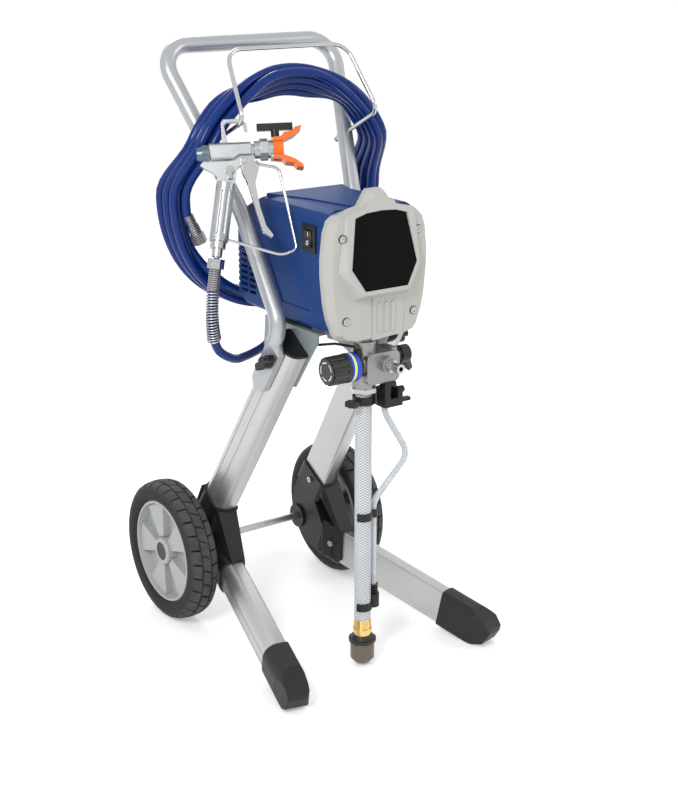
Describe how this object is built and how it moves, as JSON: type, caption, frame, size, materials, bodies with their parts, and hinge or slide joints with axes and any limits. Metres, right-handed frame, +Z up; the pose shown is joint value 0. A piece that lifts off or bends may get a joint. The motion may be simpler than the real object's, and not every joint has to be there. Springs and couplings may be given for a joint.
{
  "type": "airless paint sprayer",
  "caption": "Airless paint sprayer on a two-wheeled cart with front feet: motor-driven piston pump, suction and drain tubes, U handle, hose rack with coiled hose and spray gun.",
  "frame": {"origin": "on the floor under the middle of the footprint, on the plane midway between the wheels", "axes": "+X to the right of a person who faces the pump, +Y from the pump to the wheels, +Z up"},
  "size_m": [0.4063, 0.5168, 0.922],
  "materials": {
    "tyre": "moulded rubber",
    "hub": "grey moulded plastic",
    "black_plastic": "fine grain black",
    "rubber": "matt black rubber",
    "extrusion": "brushed and anodised",
    "silver_paint": "silver powder coat",
    "grey_paint": "blue-grey powder coat",
    "blue_shell": "satin blue",
    "cast_grey": "warm grey fine texture paint",
    "cast_alu": "die cast",
    "zinc": "zinc plated",
    "steel": "ground steel",
    "chrome": "polished",
    "dark_steel": "dark plated steel",
    "label_black": "bare gloss black",
    "blue_ring": "blue",
    "clear_tube": "clear vinyl with braid",
    "clear_plain": "clear vinyl",
    "brass": "machined",
    "smoke": "dark smoke mesh",
    "orange": "orange",
    "hose_blue": "smooth blue jacket"
  },
  "bodies": {
    "frame": {"upper_leg_left": "extrusion", "upper_leg_right": "extrusion", "upper_leg_caps": "black_plastic", "lower_leg_left": "extrusion", "lower_leg_right": "extrusion", "feet": "rubber", "wheel_bracket_left": "black_plastic", "wheel_bracket_right": "black_plastic", "screws": "zinc", "axle": "zinc", "axle_retainers": "zinc", "handle": "silver_paint", "frame_fasteners": "zinc", "hose_rack": "chrome", "motor_bracket": "grey_paint", "shroud": "blue_shell", "drive_housing": "cast_alu", "front_cover": "cast_grey", "label_plate": "label_black", "motor_can": "dark_steel", "pump_manifold": "cast_alu", "pump_cylinder": "zinc", "outlet_fitting": "chrome", "pressure_sensor": "black_plastic", "control_lead": "rubber", "prime_valve": "dark_steel", "pail_hook": "black_plastic", "suction_tube": "clear_tube", "suction_adapter": "brass", "strainer": "smoke", "drain_tube": "clear_plain", "tube_clips": "black_plastic", "switch_bezel": "black_plastic", "cord_gland": "rubber", "gun_body": "cast_alu", "trigger_guard": "chrome", "gun_swivel": "steel", "hose_ends": "dark_steel", "hose_lead": "hose_blue", "hose_coil": "hose_blue"},
    "wheel_left": {"wheel_hub_left": "hub", "tyre_left": "tyre", "hub_cap_left": "black_plastic"},
    "wheel_right": {"wheel_hub_right": "hub", "tyre_right": "tyre", "hub_cap_right": "black_plastic"},
    "handle_knob_left": {"handle_knob_left": "black_plastic"},
    "handle_knob_right": {"handle_knob_right": "black_plastic"},
    "pressure_knob": {"pressure_knob": "black_plastic"},
    "prime_lever": {"prime_lever": "black_plastic"},
    "power_rocker": {"power_rocker": "black_plastic"},
    "trigger": {"trigger": "chrome"},
    "trigger_lock": {"trigger_lock": "orange"},
    "gun_needle": {"gun_needle": "steel"},
    "tip_guard": {"tip_guard": "orange"},
    "spray_tip": {"spray_tip": "black_plastic"},
    "rotor": {"rotor": "steel"},
    "crank_gear": {"crank_gear": "steel"},
    "connecting_rod": {"connecting_rod": "cast_alu"},
    "piston_rod": {"piston_rod": "chrome"}
  },
  "joints": [
    {"name": "wheel_left_spin", "type": "hinge", "parent": "frame", "child": "wheel_left", "pos_m": [-0.163, 0.14408, 0.1143], "axis": [1, 0, 0], "continuous": true},
    {"name": "wheel_right_spin", "type": "hinge", "parent": "frame", "child": "wheel_right", "pos_m": [0.163, 0.14408, 0.1143], "axis": [1, 0, 0], "continuous": true},
    {"name": "handle_knob_left_turn", "type": "hinge", "parent": "frame", "child": "handle_knob_left", "pos_m": [-0.12145, -0.08072, 0.47537], "axis": [-0.9986, 0, 0.052], "range_deg": [0, 720]},
    {"name": "handle_knob_right_turn", "type": "hinge", "parent": "frame", "child": "handle_knob_right", "pos_m": [0.12145, -0.08072, 0.47537], "axis": [0.9986, 0, 0.052], "range_deg": [0, 720]},
    {"name": "pressure_knob_turn", "type": "hinge", "parent": "frame", "child": "pressure_knob", "pos_m": [-0.06, -0.18393, 0.48], "axis": [-1, 0, 0], "range_deg": [0, 270]},
    {"name": "prime_lever_turn", "type": "hinge", "parent": "frame", "child": "prime_lever", "pos_m": [0.05, -0.18093, 0.484], "axis": [1, 0, 0], "range_deg": [-90, 0]},
    {"name": "power_rocker_tilt", "type": "hinge", "parent": "frame", "child": "power_rocker", "pos_m": [-0.077, -0.13292, 0.662], "axis": [0, 1, 0], "range_deg": [-10, 10]},
    {"name": "trigger_pull", "type": "hinge", "parent": "frame", "child": "trigger", "pos_m": [-0.12175, -0.0338, 0.76072], "axis": [0.4426, 0.811, -0.3826], "range_deg": [0, 16], "stiffness_Nm_per_rad": 0.6, "springref_deg": -8.59},
    {"name": "gun_needle_slide", "type": "slide", "parent": "frame", "child": "gun_needle", "axis": [-0.8826, 0.4693, -0.0262], "range_m": [0, 0.0025]},
    {"name": "trigger_lock_turn", "type": "hinge", "parent": "frame", "child": "trigger_lock", "pos_m": [-0.1427, -0.02808, 0.74861], "axis": [-0.4426, -0.811, 0.3826], "range_deg": [0, 80]},
    {"name": "tip_guard_turn", "type": "hinge", "parent": "frame", "child": "tip_guard", "pos_m": [-0.09318, -0.04206, 0.77627], "axis": [0.8826, -0.4693, 0.0262], "range_deg": [-90, 90]},
    {"name": "spray_tip_turn", "type": "hinge", "parent": "tip_guard", "child": "spray_tip", "pos_m": [-0.0754, -0.04392, 0.79287], "axis": [0.1583, 0.3492, 0.9236], "range_deg": [0, 180]},
    {"name": "rotor_spin", "type": "hinge", "parent": "frame", "child": "rotor", "pos_m": [0, -0.05593, 0.635], "axis": [0, 1, 0], "continuous": true},
    {"name": "crank_spin", "type": "hinge", "parent": "frame", "child": "crank_gear", "pos_m": [-0.015, -0.16292, 0.59257], "axis": [0, 1, 0], "continuous": true},
    {"name": "connecting_rod_swing", "type": "hinge", "parent": "crank_gear", "child": "connecting_rod", "pos_m": [-0.015, -0.17692, 0.59657], "axis": [0, 1, 0], "continuous": true},
    {"name": "piston_stroke", "type": "slide", "parent": "frame", "child": "piston_rod", "axis": [0, 0, 1], "range_m": [-0.008, 0]}
  ],
  "couplings": [
    {"joint": "crank_spin", "follows": "rotor_spin", "ratio": -0.2},
    {"joint": "connecting_rod_swing", "follows": "rotor_spin", "ratio": 0.2},
    {"joint": "gun_needle_slide", "follows": "trigger_pull", "m_per_rad": 0.0089}
  ]
}
